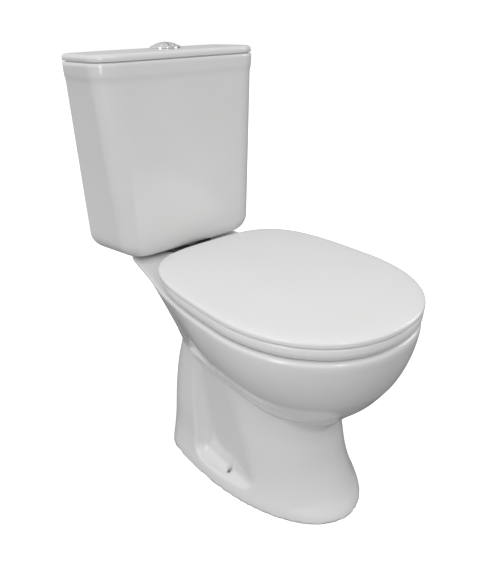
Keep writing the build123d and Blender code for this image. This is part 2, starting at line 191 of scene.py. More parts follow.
def pedestal(x, y, z):
    """Outside of the pedestal with its recessed side panels."""
    wall = egg_field(x, y, curve(z, FOOT_HALF), curve(z, FOOT_FRONT), 30, curve(z, FOOT_REAR), FOOT_EGG, SQUARE)
    panel = meet_soft(curve(z, PANEL_HALF) - x, curve(z, RECESS_FRONT) - y, 8)
    panel = meet_soft(panel, y - curve(z, RECESS_REAR), 34)
    panel = meet_soft(panel, 27 - z, 26)
    wall = meet_soft(wall, -panel, 4)
    wall = meet_soft(wall, z - 300, 6)
    return meet_soft(wall, -z, 2.5)


def under_hollow(x, y, z):
    """Hollow of the pedestal, open at the floor and behind, below the deck."""
    inside = egg_field(x, y, curve(z, HOLLOW_HALF), curve(z, HOLLOW_FRONT), 20, 112, FOOT_EGG, SQUARE)
    inside = meet_soft(inside, z - 215, 12)
    behind = meet_soft(meet_soft(x - 93, 45 - y, 10), z - RIM_Z + 14, 10)
    behind = np.maximum(behind, 20 - z)
    low_behind = np.maximum(meet_soft(x - 93, 60 - y, 10), z - 99)
    return join_soft(join_soft(inside, behind, 8), low_behind, 8)


def basin(x, y, z, wall):
    """The inside of the bowl, or with a wall the china around it."""
    hole = egg_field(x, y, curve(z, BASIN_HALF) + wall, curve(z, BASIN_FRONT) - wall, -70,
                     curve(z, BASIN_REAR) + wall, 2.2, 2.4)
    return meet_soft(hole, 104 - wall - z, 24)


def pan_field(p):
    """The whole pan: negative inside the china."""
    x, y, z = np.abs(p[:, 0]), p[:, 1], p[:, 2]
    fillet = 6 + 16 * step((y - 60) / 50)       # a wide, soft join behind, under the deck
    body = join_soft(bowl_and_deck(x, y, z), pedestal(x, y, z), fillet)
    body = meet_soft(body, -under_hollow(x, y, z), 4)
    # inner walls: flush channel, basin, trap and waste spigot
    channel = meet_soft(meet_soft(x - 42, slab(y, 20, VALVE_Y), 8), slab(z, 342, 380), 5)
    chamber = tube_field(x, y, z, INLET_LOW, INLET_HIGH, 54)
    walls = join_soft(channel, chamber, 8)
    walls = join_soft(walls, meet_soft(basin(x, y, z, CHINA), z - 300, 6), 8)
    walls = join_soft(walls, tube_field(x, y, z, *TRAP, 38), 14)
    walls = join_soft(walls, tube_field(x, y, z, (0, 10, OUTLET_Z), (0, 164, OUTLET_Z), OUTLET_R + 3), 14)
    walls = join_soft(walls, tube_field(x, y, z, (0, 90, OUTLET_Z), (0, 194, OUTLET_Z), OUTLET_R), 2)
    body = join_soft(body, walls, 6)
    # finger pocket in each flank: a scoop above the crease, cut off at the front and tapering at the rear
    crease = curve(y, CREASE_Z)
    scoop = meet_soft(crease + 1 + 1.1 * np.clip(114 - x, 0, 20) - z, z - crease - 36 * step((78 - y) / 30), 6)
    scoop = meet_soft(meet_soft(scoop, slab(y, -47, 64), 5), 101 - x, 6)
    body = meet_soft(body, -scoop, 3)
    body = join_soft(body, tube_field(x, y, z, (*FLOOR_FIX, 6), (*FLOOR_FIX, 24), 11), 5)
    # spaces
    opening = np.maximum(egg_field(x, y, 116, -272, -80, 24, 2.2, 2.4), 340 - z)
    space = join_soft(opening, meet_soft(basin(x, y, z, 0), z - 366, 12), 10)
    space = join_soft(space, meet_soft(meet_soft(x - 30, slab(y, 10, VALVE_Y), 6), slab(z, 352, 370), 6), 5)
    body = meet_soft(body, -space, 9)
    inlet = tube_field(x, y, z, (0, VALVE_Y, 352), (0, VALVE_Y, 402), 43)
    drain = join_soft(tube_field(x, y, z, *TRAP, 27),
                      tube_field(x, y, z, (0, 14, OUTLET_Z), (0, 220, OUTLET_Z), OUTLET_R - 9), 10)
    body = meet_soft(body, -join_soft(inlet, drain, 2), 3)
    for (hx, hy), low, high, r in ((FILL_VALVE, 330, 410, 20), ((COUPLING_X, VALVE_Y), 370, 410, 6.5),
                                   ((HINGE_X, HINGE_Y), 370, 410, 6.5), (FLOOR_FIX, -5, 60, FLOOR_FIX_R)):
        body = meet_soft(body, -tube_field(x, y, z, (hx, hy, low), (hx, hy, high), r), 1.5)
    return body


# ---------------------------------------------------------------- from field to mesh
def gradient(field, p, h=0.4):
    """Slope of a field at the points p, by central differences."""
    g = np.empty_like(p)
    for i in range(3):
        d = np.zeros(3)
        d[i] = h
        g[:, i] = (field(p + d) - field(p - d)) / (2 * h)
    return g


def onto_surface(field, p, turns=3, most=2.5):
    """Moves points along the gradient onto the field's zero surface."""
    for _ in range(turns):
        g = gradient(field, p)
        move = field(p)[:, None] * g / np.maximum((g * g).sum(1), 0.05)[:, None]
        size = np.linalg.norm(move, axis=1, keepdims=True)
        p = p - move * np.minimum(1, most / np.maximum(size, 1e-9))
    return p


def near_values(field, grid, cell, block=4):
    """Field values on the grid, worked out only in the blocks that the surface can reach."""
    coarse = grid[::block, ::block, ::block]
    rough = field(coarse.reshape(-1, 3)).reshape(coarse.shape[:3])
    rough = np.pad(rough, [(0, 1)] * 3, mode="edge")
    corners = [rough[i:i - 1 or None, j:j - 1 or None, k:k - 1 or None]
               for i in (0, 1) for j in (0, 1) for k in (0, 1)]
    near = np.min(np.abs(corners), 0) < 1.4 * block * cell
    spread = [np.repeat(np.repeat(np.repeat(a, block, 0), block, 1), block, 2)
              [:grid.shape[0], :grid.shape[1], :grid.shape[2]] for a in (near, corners[0])]
    value = spread[1].copy()
    value[spread[0]] = field(grid[spread[0]])
    return value


def surface_net(field, low, high, cell):
    """Quads around the zero surface: one point in each cell that it crosses."""
    axes = [np.arange(low[i], high[i] + cell, cell) for i in range(3)]
    grid = np.stack(np.meshgrid(*axes, indexing="ij"), -1)
    shape = grid.shape[:3]
    value = near_values(field, grid, cell)
    total = np.zeros([n - 1 for n in shape] + [3])
    count = np.zeros([n - 1 for n in shape])
    whole = slice(None)
    for a in range(3):
        lo, hi = [whole] * 3, [whole] * 3
        lo[a], hi[a] = slice(None, -1), slice(1, None)
        f0, f1 = value[tuple(lo)], value[tuple(hi)]
        cross = (f0 < 0) != (f1 < 0)
        t = np.where(cross, f0 / np.where(cross, f0 - f1, 1), 0)
        point = grid[tuple(lo)] + 0
        point[..., a] += t * cell
        b, c = [i for i in range(3) if i != a]
        for sb in (0, 1):
            for sc in (0, 1):
                part = [whole] * 3
                part[b] = slice(sb, sb + shape[b] - 1)
                part[c] = slice(sc, sc + shape[c] - 1)
                part = tuple(part)
                count += cross[part]
                total += np.where(cross[part][..., None], point[part], 0)
    active = count > 0
    index = np.full(active.shape, -1)
    index[active] = np.arange(active.sum())
    points = total[active] / count[active][:, None]
    quads = []
    for a in range(3):
        b, c = (a + 1) % 3, (a + 2) % 3
        lo, hi = [whole] * 3, [whole] * 3
        lo[a], hi[a] = slice(None, -1), slice(1, None)
        inside = value < 0
        rising = inside[tuple(lo)] & ~inside[tuple(hi)]
        falling = ~inside[tuple(lo)] & inside[tuple(hi)]
        for mask, order in ((rising, (0, 1, 2, 3)), (falling, (3, 2, 1, 0))):
            at = np.argwhere(mask)
            at = at[(at[:, b] > 0) & (at[:, c] > 0) & (at[:, b] < shape[b] - 1) & (at[:, c] < shape[c] - 1)]
            ring = []
            for db, dc in ((-1, -1), (0, -1), (0, 0), (-1, 0)):
                cell_at = at.copy()
                cell_at[:, b] += db
                cell_at[:, c] += dc
                ring.append(index[tuple(cell_at.T)])
            quads.append(np.stack([ring[i] for i in order], 1))
    return points, np.concatenate(quads)


def relax(field, points, quads, turns):
    """Evens out the quads along the surface."""
    edges = np.concatenate([quads[:, [i, (i + 1) % 4]] for i in range(4)])
    edges = np.concatenate([edges, edges[:, ::-1]])
    n = len(points)
    degree = np.bincount(edges[:, 0], minlength=n)[:, None]
    for _ in range(turns):
        mean = np.stack([np.bincount(edges[:, 0], points[edges[:, 1], i], n) for i in range(3)], 1) / degree
        g = gradient(field, points)
        g /= np.maximum(np.linalg.norm(g, axis=1, keepdims=True), 1e-9)
        move = mean - points
        move -= (move * g).sum(1, keepdims=True) * g
        points = onto_surface(field, points + 0.6 * move, 1)
    return points


def mesh_object(name, points_mm, faces):
    """Smooth shaded object from points in millimetres."""
    mesh = bpy.data.meshes.new(name)
    mesh.from_pydata([tuple(p) for p in np.asarray(points_mm) * MM], [], [tuple(int(i) for i in f) for f in faces])
    mesh.validate()
    obj = bpy.data.objects.new(name, mesh)
    bpy.context.scene.collection.objects.link(obj)
    mesh.polygons.foreach_set("use_smooth", [True] * len(mesh.polygons))
    mesh.update()
    return obj


def piece(obj, body, slot, material, *nodes):
    """Puts a finished piece on its body, in place of the CAD nodes it stands for."""
    obj.data.materials.clear()
    obj.data.materials.append(material)
    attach(obj, body)
    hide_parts(*nodes)
    return obj


def make_pan():
    """The pan as one mesh of even quads, under 200 000 triangles."""
    low, high = cad_mm(*PAN)
    cell = 4.3
    points, quads = surface_net(pan_field, low - 2.5 * cell, high + 2.5 * cell, cell)
    points = onto_surface(pan_field, points)
    points = relax(pan_field, points, quads, 4)
    points = onto_surface(pan_field, points, 2)
    return mesh_object("pan_china", points, quads)


# ---------------------------------------------------------------- meshes of stacked outlines
def stacked(name, loops, caps=True, closed=False):
    """Mesh from outlines of equal length, one after the other; capped, or closed into a ring."""
    loops = np.asarray(loops, float)
    count, n = loops.shape[:2]
    i = np.arange(n)
    faces = []
    for a in range(count if closed else count - 1):
        b = (a + 1) % count
        faces += np.stack([a * n + i, a * n + (i + 1) % n, b * n + (i + 1) % n, b * n + i], 1).tolist()
    points = loops.reshape(-1, 3)
    if caps and not closed:
        ends = [points[:n].mean(0), points[-n:].mean(0)]
        points = np.vstack([points, ends])
        first, last = count * n, count * n + 1
        base = (count - 1) * n
        faces += [[first, int((k + 1) % n), int(k)] for k in i]
        faces += [[last, int(base + k), int(base + (k + 1) % n)] for k in i]
    obj = mesh_object(name, points, faces)
    bm = bmesh.new()
    bm.from_mesh(obj.data)
    bmesh.ops.recalc_face_normals(bm, faces=bm.faces)
    bm.to_mesh(obj.data)
    bm.free()
    return obj


def lathe(name, profile, centre, steps=72):
    """Turned piece: profile is a closed list of (radius, z), around a vertical axis at centre."""
    turn = 2 * pi * np.arange(steps) / steps
    loops = [np.stack([centre[0] + r * np.cos(turn), centre[1] + r * np.sin(turn), np.full(steps, z)], 1)
             for r, z in profile]
    return stacked(name, loops, caps=profile[0][0] < 2, closed=profile[0][0] >= 2)


def arc(centre, radius, start, end, steps=6):
    """Points (u, v) on an arc between two angles in degrees."""
    return [(centre[0] + radius * cos(radians(a)), centre[1] + radius * sin(radians(a)))
            for a in np.linspace(start, end, steps)]


def extruded(name, outline, axis, low, high):
    """Straight piece: outline in the two other axes, between low and high on the given axis, with soft ends."""
    outline = np.asarray(outline, float)
    centre = outline.mean(0)
    others = [i for i in range(3) if i != axis]
    loops = []
    for place, inset in ((low, 0.8), (low + 0.25, 0.25), (low + 0.8, 0),
                         (high - 0.8, 0), (high - 0.25, 0.25), (high, 0.8)):
        away = outline - centre
        away = centre + away * (1 - inset / np.linalg.norm(away, axis=1, keepdims=True))
        loop = np.zeros((len(outline), 3))
        loop[:, others], loop[:, axis] = away, place
        loops.append(loop)
    return stacked(name, loops)


def cut(obj, *tools, operation="DIFFERENCE"):
    """Cuts the tools out of a piece (or joins them to it) and removes them."""
    for tool in tools:
        mod = obj.modifiers.new("cut", "BOOLEAN")
        mod.operation, mod.solver, mod.object = operation, "MANIFOLD", tool
    bpy.context.view_layer.update()
    result = bpy.data.meshes.new_from_object(obj.evaluated_get(bpy.context.evaluated_depsgraph_get()))
    obj.modifiers.clear()
    obj.data = result
    for tool in tools:
        bpy.data.objects.remove(tool)
    result.polygons.foreach_set("use_smooth", [True] * len(result.polygons))
    result.set_sharp_from_angle(angle=radians(35))
    return obj


def peg(x, y, low, high, radius):
    """Round cutter along Z."""
    return lathe("cutter", [(0.5, low), (radius, low), (radius, high), (0.5, high)], (x, y), 48)


def block(low, high, radius=3.0):
    """Cutter with rounded upright corners."""
    x0, y0, z0 = low
    x1, y1, z1 = high
    outline = (arc((x1 - radius, y1 - radius), radius, 0, 90)
               + arc((x0 + radius, y1 - radius), radius, 90, 180)
               + arc((x0 + radius, y0 + radius), radius, 180, 270)
               + arc((x1 - radius, y0 + radius), radius, 270, 360))
    return stacked("cutter", [[(x, y, z) for x, y in outline] for z in (z0, z1)])


def inward(outline):
    """Unit normals of a closed plan outline, pointing inward."""
    along = np.roll(outline, -1, 0) - np.roll(outline, 1, 0)
    normal = np.stack([-along[:, 1], along[:, 0]], 1)
    normal /= np.linalg.norm(normal, axis=1, keepdims=True)
    return normal * np.sign(((outline.mean(0) - outline) * normal).sum())


def at_height(outline, z):
    """Plan outline (x, y) raised to a height, or to one height for each point."""
    return np.column_stack([outline, np.broadcast_to(z, len(outline))])


# ---------------------------------------------------------------- seat ring and cover
def egg_outline(half_width, front, widest, rear, front_power, rear_power, count=224):
    """Plan outline with evenly spaced points, starting on the right."""
    turn = np.linspace(0, 2 * pi, 6001)[:-1]
    c, s = np.cos(turn), np.sin(turn)
    power, reach = np.where(s < 0, front_power, rear_power), np.where(s < 0, widest - front, rear - widest)
    x = half_width * np.sign(c) * np.abs(c) ** (2 / power)
    y = widest + reach * np.sign(s) * np.abs(s) ** (2 / power)
    length = np.concatenate([[0], np.cumsum(np.hypot(np.diff(x, append=x[0]), np.diff(y, append=y[0])))])
    want = np.linspace(0, length[-1], count + 1)[:-1]
    return np.column_stack([np.interp(want, length, np.append(v, v[0])) for v in (x, y)])


SEAT_HALF = (cad_mm("seat_cover")[1][0] - cad_mm("seat_cover")[0][0]) / 2
SEAT_REAR = cad_mm("seat_cover")[1][1]
SEAT_SHAPE = (WIDEST_Y, SEAT_REAR, 2.17, 3.5)


def seat_plan(inset, rear_inset=0.0):
    """The cover's plan, drawn in all round and further at the rear."""
    widest, rear, front_power, rear_power = SEAT_SHAPE
    return egg_outline(SEAT_HALF - inset, FRONT_Y + inset, widest, rear - inset - rear_inset, front_power, rear_power)


def make_seat_ring():
    """Moulded ring: soft lower edge, upright band, rounded top, and two notches for the hinges."""
    outer, inner = seat_plan(1, 6.7), egg_outline(118, -264, -110, 24, 2.1, 2.3)
    out_n, in_n = inward(outer), inward(inner)
    top, bottom = SEAT_TOP, SEAT_BOTTOM
    loops = []
    # outer edge from the underside up: a soft lower edge, an upright band, a large top rounding
    for inset, z in ((13, bottom), (7.5, bottom), (6.3, bottom + 0.2), (5.2, bottom + 0.9), (3.2, bottom + 3),
                     (1.4, bottom + 5.8), (0.3, bottom + 9), (0, bottom + 12), (0.2, bottom + 15)):
        loops.append(at_height(outer + inset * out_n, z))
    loops += [at_height(outer + u * out_n, v) for u, v in arc((4.6, top - 4.2), 4.2, 172, 94, 8)]
    # broad top, very slightly crowned, falling to the opening
    for t in (0.22, 0.4, 0.6, 0.78):
        crown = top - 1.4 * t * t
        loops.append(at_height((outer + 5 * out_n) * (1 - t) + (inner - 11 * in_n) * t, crown))
    edge = top - 1.8
    loops += [at_height(inner - (11 - u) * in_n, v) for u, v in arc((0, edge - 9.5), 9.5, 90, 12, 8)]
    loops += [at_height(inner - (1.2 - u) * in_n, v) for u, v in (
        (0.7, edge - 12), (0.2, bottom + 4), (-1.2, bottom + 1.4), (-4, bottom + 0.2), (-8, bottom))]
    notches = [block((side * 84 - 16.5, HINGE_Y - 12, bottom - 5), (side * 84 + 16.5, HINGE_Y + 48, top + 5))
               for side in (-1, 1)]
    return cut(stacked("seat_ring_moulded", loops, closed=True), *notches)


def make_seat_cover():
    """Moulded cover: a shallow dome with a rounded rim and a hollow underside."""
    outer = seat_plan(0)
    n = inward(outer)
    low, top = COVER_BOTTOM, COVER_TOP
    centre = np.array([0, -104.0])
    loops = []
    ceiling = low + 5
    for s in (0.02, 0.3, 0.7):
        loops.append(at_height(centre + (outer + 9 * n - centre) * s, ceiling))
    for inset, z in ((10.4, ceiling), (9.4, ceiling - 0.5), (9, ceiling - 1.4), (9, low + 1.2), (8.3, low + 0.3),
                     (7.2, low), (2, low), (1, low + 0.15), (0.35, low + 0.6), (0.05, low + 1.4), (0, low + 3),
                     (0, low + 6)):
        loops.append(at_height(outer + inset * n, z))
    # rounded upper edge running into the shallow dome
    knots = [(0, low + 6), (0.35, low + 7.2), (1.3, low + 8.5), (3, low + 9.6), (5.4, low + 10.5), (8.6, low + 11.3),
             (12.6, low + 12), (18, low + 12.8)]
    for inset, z in knots[1:]:
        loops.append(at_height(outer + inset * n, z))
    last, z0 = outer + 18 * n, knots[-1][1]
    for s in (0.07, 0.15, 0.25, 0.37, 0.5, 0.64, 0.78, 0.9, 0.975):
        loops.append(at_height(last * (1 - s) + centre * s, z0 + (top - z0) * (1 - (1 - s) ** 2.2)))
    return stacked("seat_cover_moulded", loops)


def make_cover_lugs():
    """Two knuckles under the cover that turn on the hinge pins."""
    lug = arc((HINGE_Y, HINGE_Z), 7, 180, 360, 14)
    lug += [(HINGE_Y + 7, COVER_BOTTOM + 2), (HINGE_Y + 7.6, COVER_BOTTOM + 7),
            (HINGE_Y - 10, COVER_BOTTOM + 7), (HINGE_Y - 7.6, COVER_BOTTOM + 2)]
    parts = [extruded("cover_knuckle", lug, 0, *sorted((side * 87.5, side * 99.5))) for side in (-1, 1)]
    return join("cover_knuckles", parts)


def join(name, parts):
    """One object out of several separate solids."""
    bm = bmesh.new()
    for part in parts:
        bm.from_mesh(part.data)
        bpy.data.objects.remove(part)
    mesh = bpy.data.meshes.new(name)
    bm.to_mesh(mesh)
    bm.free()
    obj = bpy.data.objects.new(name, mesh)
    bpy.context.scene.collection.objects.link(obj)
    mesh.set_sharp_from_angle(angle=radians(35))
    return obj


# ---------------------------------------------------------------- cistern and lid
def rounded(corners, radii, arc_steps, edge_steps):
    """Polygon outline with a rounded corner at each vertex and a fixed number of points."""
    corners = np.asarray(corners, float)
    count = len(corners)
    arcs = []
    for i in range(count):
        p, a, b = corners[i], corners[i - 1], corners[(i + 1) % count]
        u, v = (a - p) / np.linalg.norm(a - p), (b - p) / np.linalg.norm(b - p)
        half = np.arccos(np.clip(u @ v, -1, 1)) / 2
        reach = radii[i] / np.tan(half)
        middle = p + (u + v) / np.linalg.norm(u + v) * radii[i] / np.sin(half)
        start, end = p + u * reach, p + v * reach
        a0 = np.arctan2(*(start - middle)[::-1])
        a1 = np.arctan2(*(end - middle)[::-1])
        a1 = a0 + (a1 - a0 + pi) % (2 * pi) - pi
        turn = np.linspace(a0, a1, arc_steps)
        arcs.append(middle + radii[i] * np.column_stack([np.cos(turn), np.sin(turn)]))
    points = []
    for i in range(count):
        points.append(arcs[i])
        gap = np.linspace(0, 1, edge_steps + 2)[1:-1, None]
        points.append(arcs[i][-1] * (1 - gap) + arcs[(i + 1) % count][0] * gap)
    return np.concatenate(points)


def tank_plan(z, sides=0.0, front=0.0, back=0.0, bow=2.5, corner=42.0):
    """Plan of the cistern at a height, drawn in by some millimetres at its sides, front and back.

    It is widest at the top and at the wall, with large front corners and a front that is a little bowed.
    """
    taper = (TANK_TOP - z) / 345
    front_half, back_half = 171 - 23 * taper - sides, 171 - sides
    near, far = 180 + 10 * taper + front, WALL_Y - back
    plan = rounded([(-front_half, near), (front_half, near), (back_half, far), (-back_half, far)],
                   [corner, corner, 6, 6], 16, 14)
    forward = np.clip((far - plan[:, 1]) / (far - near), 0, 1) ** 2
    plan[:, 1] += bow - bow * np.clip(1 - (plan[:, 0] / front_half) ** 2, 0, 1) * forward
    plan[:, 1] = np.minimum(plan[:, 1], far)
    return plan


def tank_ring(z, sides=0.0, front=None, back=None, corner=42.0):
    """The cistern's outline at its height; front and back are drawn in as far as the sides unless given."""
    front, back = (sides if value is None else value for value in (front, back))
    return at_height(tank_plan(z, sides, front, max(back, 0), corner=corner), z)


def make_tank():
    """Open cistern with a rounded bottom edge, a thicker band at its mouth, and its holes."""
    floor, wall = TANK_BOTTOM, 9.0
    middle = np.array([[0, TANK_MIDDLE, floor]])
    foot = tank_ring(floor, 34, 24, 26, 22)
    loops = [middle * (1 - s) + foot * s for s in (0.03, 0.4, 0.8)]
    for turn in np.linspace(0, 90, 12):         # rounded bottom edge
        away, z = 1 - sin(radians(turn)), floor + 34 * (1 - cos(radians(turn)))
        loops.append(tank_ring(z, 34 * away, 24 * away, 26 * away, 42 - 20 * away))
    loops += [tank_ring(z) for z in np.linspace(floor + 48, 728, 14)]
    for z, proud in ((733, 0.1), (736.5, 0.5), (739.5, 1.1), (742.5, 1.5), (746, 1.6), (758, 1.6), (762, 1.6),
                     (763.6, 1.1), (764.6, 0.2), (765, -1.0)):
        loops.append(tank_ring(z, -proud))
    for z, inset in [(765, 3), (765, wall - 2), (764.3, wall - 0.5), (762, wall)]:
        loops.append(tank_ring(z, inset))
    loops += [tank_ring(z, wall, corner=34) for z in np.linspace(740, floor + 60, 6)]
    low = floor + 12
    for turn in np.linspace(90, 0, 8):
        away, z = 1 - sin(radians(turn)), low + 26 * (1 - cos(radians(turn)))
        loops.append(tank_ring(z, wall + 26 * away, wall + 17 * away, wall + 19 * away, 34 - 16 * away))
    bed = loops[-1]
    loops += [(middle + (0, 0, 12)) * (1 - s) + bed * s for s in (0.5, 0.03)]
    tank = stacked("cistern_china", loops)
    holes = ((0, VALVE_Y, 26), (-COUPLING_X, VALVE_Y, 4.5), (COUPLING_X, VALVE_Y, 4.5), (*FILL_VALVE, 10.6))
    return cut(tank, *[peg(x, y, floor - 9, low + 9, r) for x, y, r in holes])


def make_lid():
    """Cistern lid with a locating rib below, a rounded edge and a slightly crowned top."""
    top, seam = LID_TOP, TANK_TOP

    def ring(inset, z):
        sides, front = inset - 0.6, inset - 1.4         # the lid stands a little proud of the cistern
        return at_height(tank_plan(seam, sides, front, max(sides, 0), corner=42 - 0.5 * inset), z)

    def to_middle(loop, s, rise=0.0):
        return loop * (1 - s) + np.array([0, TANK_MIDDLE, loop[0, 2]]) * s + (0, 0, rise)

    loops = [to_middle(ring(26, seam + 6), 1 - s) for s in (0.03, 0.5, 0.96)]
    loops += [ring(inset, z) for inset, z in (
        (25, seam + 5), (24, seam - 8), (23, seam - 9), (12.5, seam - 9), (11.5, seam - 8), (11, seam - 1),
        (11, seam), (5, seam), (4.4, seam + 0.3), (4.2, seam + 1.2), (3.2, seam + 1.5), (1.2, seam + 1.6),
        (0.4, seam + 2), (0, seam + 2.9), (0, seam + 7))]
    loops += [ring(u, v) for u, v in arc((6.5, top - 9), 6.5, 175, 105, 8)]
    shoulder = ring(12, top - 2.0)
    loops += [to_middle(shoulder, s, 2.0 * (1 - (1 - s) ** 2)) for s in (0, 0.04, 0.1, 0.2, 0.35, 0.55, 0.8, 0.97)]
    return cut(stacked("cistern_lid_china", loops), peg(0, VALVE_Y, seam - 20, top + 20, 25))


# ---------------------------------------------------------------- push button
def make_bezel():
    """Ring on the lid and the threaded cup below it, with a guide hole for each push rod."""
    top, r = LID_TOP, 24.5
    profile = [(22, top - 36), (22, top + 3.6), (22.4, top + 4.3), (23.4, top + 4.5), (25.4, top + 4.0),
               (27.4, top + 2.9), (28.7, top + 1.6), (29, top + 0.9), (29, top + 0.2), (28.8, top)]
    z = top - 0.2
    while z > 745:          # thread of the cup
        profile += [(r, z), (r, z - 0.9), (r - 0.7, z - 1.5), (r - 0.7, z - 2.1)]
        z -= 2.7
    profile += [(r, 743), (r - 0.6, 742), (3, 742), (3, 745), (21.2, 745), (22, 745.6)]
    cup = lathe("button_bezel_chrome", profile, (0, VALVE_Y), 96)
    plate = lathe("cutter", [(0.5, 742.2), (6, 742.2), (6, 744.8), (0.5, 744.8)], (0, VALVE_Y), 48)
    cup = cut(cup, plate, operation="UNION")
    return cut(cup, *[peg(side * 17.5, VALVE_Y, 735, 760, 3) for side in (-1, 1)])


def make_button(size):
    """One half of the domed button, split off the middle, with a small step round its edge."""
    top, side = LID_TOP + 10, 1 if size == "large" else -1
    profile = [(0.4, 777), (20.9, 777), (21.5, 777.6), (21.5, top - 5.6), (21.2, top - 4.9), (20.4, top - 4.2),
               (18.4, top - 3.2), (15.6, top - 2.2), (12, top - 1.3), (8, top - 0.6), (4, top - 0.15), (0.4, top)]
    dome = lathe("button_chrome_" + size, profile, (0, VALVE_Y), 96)
    split, gap = -4.0, 0.6
    near = split + side * gap
    low, high = sorted((near, near - side * 60))
    return cut(dome, block((low, VALVE_Y - 40, 770), (high, VALVE_Y + 40, 800), 0.01))


# ---------------------------------------------------------------- materials
def surface(name, colour, other=None, patch=60.0, roughness=0.3, vary=0.04, metallic=0.0, coat=0.0, bump=0.0,
            grain=8.0, stretch=(1, 1, 1), detail=3.0, subsurface=0.0, specular=0.5):
    """Procedural finish: two close tones in patches, uneven roughness, and a fine bump. Sizes in millimetres."""
    mat = bpy.data.materials.new(name)
    mat.use_nodes = True
    nodes, links = mat.node_tree.nodes, mat.node_tree.links
    shader = nodes["Principled BSDF"]
    place = nodes.new("ShaderNodeTexCoord")
    size = nodes.new("ShaderNodeMapping")
    size.inputs["Scale"].default_value = stretch
    links.new(place.outputs["Object"], size.inputs["Vector"])

    def noise(feature, octaves):
        tex = nodes.new("ShaderNodeTexNoise")
        tex.inputs["Scale"].default_value = 1 / (feature * MM)
        tex.inputs["Detail"].default_value = octaves
        links.new(size.outputs["Vector"], tex.inputs["Vector"])
        return tex.outputs["Fac"]

    def spread(value, low, high):
        ranged = nodes.new("ShaderNodeMapRange")
        ranged.inputs["From Min"].default_value, ranged.inputs["From Max"].default_value = 0.3, 0.7
        ranged.inputs["To Min"].default_value, ranged.inputs["To Max"].default_value = low, high
        links.new(value, ranged.inputs["Value"])
        return ranged.outputs["Result"]

    tones = nodes.new("ShaderNodeMix")
    tones.data_type = "RGBA"
    tones.inputs["A"].default_value = (*colour, 1)
    tones.inputs["B"].default_value = (*(other or [c * 0.94 for c in colour]), 1)
    links.new(spread(noise(patch, detail), 0, 1), tones.inputs["Factor"])
    links.new(tones.outputs["Result"], shader.inputs["Base Color"])
    links.new(spread(noise(patch / 4, 4), roughness - vary, roughness + vary), shader.inputs["Roughness"])
    if bump:
        relief = nodes.new("ShaderNodeBump")
        relief.inputs["Strength"].default_value = 1.0
        relief.inputs["Distance"].default_value = bump * MM
        links.new(noise(grain, 2), relief.inputs["Height"])
        links.new(relief.outputs["Normal"], shader.inputs["Normal"])
    shader.inputs["Metallic"].default_value = metallic
    shader.inputs["Coat Weight"].default_value = coat
    shader.inputs["Coat Roughness"].default_value = 0.04
    shader.inputs["Subsurface Weight"].default_value = subsurface
    shader.inputs["Specular IOR Level"].default_value = specular
    return mat


FINISHES = {
    "china": surface(
        "glazed_china", (0.80, 0.80, 0.798), (0.775, 0.775, 0.77), patch=140, roughness=0.16, vary=0.03,
        coat=0.55, bump=0.05, grain=16),
    "seat_plastic": surface(
        "polished_seat_plastic", (0.84, 0.84, 0.838), (0.825, 0.825, 0.82), patch=110, roughness=0.24, vary=0.03,
        coat=0.25, bump=0.012, grain=5),
    "hinge_plastic": surface(
        "satin_hinge_plastic", (0.78, 0.78, 0.77), patch=14, roughness=0.38, bump=0.02, grain=1.2),
    "chrome": surface(
        "chrome_plating", (0.80, 0.81, 0.82), (0.72, 0.73, 0.745), patch=9, roughness=0.09, vary=0.035,
        metallic=1.0, bump=0.004, grain=2.5),
    "rubber": surface(
        "black_rubber", (0.028, 0.028, 0.03), (0.045, 0.044, 0.043), patch=12, roughness=0.62, vary=0.08,
        bump=0.05, grain=0.9),
    "red_rubber": surface(
        "red_silicone", (0.42, 0.055, 0.04), (0.33, 0.04, 0.03), patch=9, roughness=0.5, bump=0.03, grain=1),
    "clear_rubber": surface(
        "clear_grey_rubber", (0.60, 0.61, 0.60), patch=7, roughness=0.42, bump=0.03, grain=1, subsurface=0.15),
    "nylon": surface(
        "white_nylon", (0.76, 0.755, 0.73), (0.70, 0.69, 0.66), patch=11, roughness=0.48, vary=0.06, bump=0.03,
        grain=1.1, subsurface=0.05),
    "valve_plastic": surface(
        "grey_white_valve_plastic", (0.72, 0.735, 0.74), patch=20, roughness=0.42, vary=0.06, bump=0.03,
        grain=1.4),
    "float_plastic": surface(
        "blue_float_plastic", (0.16, 0.30, 0.42), (0.13, 0.25, 0.37), patch=16, roughness=0.45, vary=0.06,
        bump=0.03, grain=1.4),
    "steel": surface(
        "zinc_plated_steel", (0.56, 0.56, 0.57), (0.45, 0.45, 0.46), patch=3, roughness=0.34, vary=0.1,
        metallic=1.0, bump=0.012, grain=0.6, stretch=(1, 1, 0.12)),
}
for part in frame["record"]["subparts"]:
    slots = frame["nodes"][part["node"]].data.materials
    slots.clear()
    slots.append(FINISHES[part["material_slot"]])

piece(make_pan(), "root", "china", FINISHES["china"], *PAN)
piece(make_tank(), "root", "china", FINISHES["china"], "cistern_tank")
piece(make_lid(), "cistern_lid", "china", FINISHES["china"], "cistern_lid")
piece(make_seat_ring(), "seat_ring", "seat_plastic", FINISHES["seat_plastic"], "seat_ring")
piece(make_seat_cover(), "seat_cover", "seat_plastic", FINISHES["seat_plastic"], "seat_cover")
piece(make_cover_lugs(), "seat_cover", "seat_plastic", FINISHES["seat_plastic"], "seat_cover")
piece(make_bezel(), "cistern_lid", "chrome", FINISHES["chrome"], "button_bezel")
for size in ("large", "small"):
    piece(make_button(size), "flush_button_" + size, "chrome", FINISHES["chrome"], "flush_button_" + size)


# ---------------------------------------------------------------- floor, light and camera
def link(name, data):
    """New object in the scene."""
    obj = bpy.data.objects.new(name, data)
    bpy.context.scene.collection.objects.link(obj)
    return obj


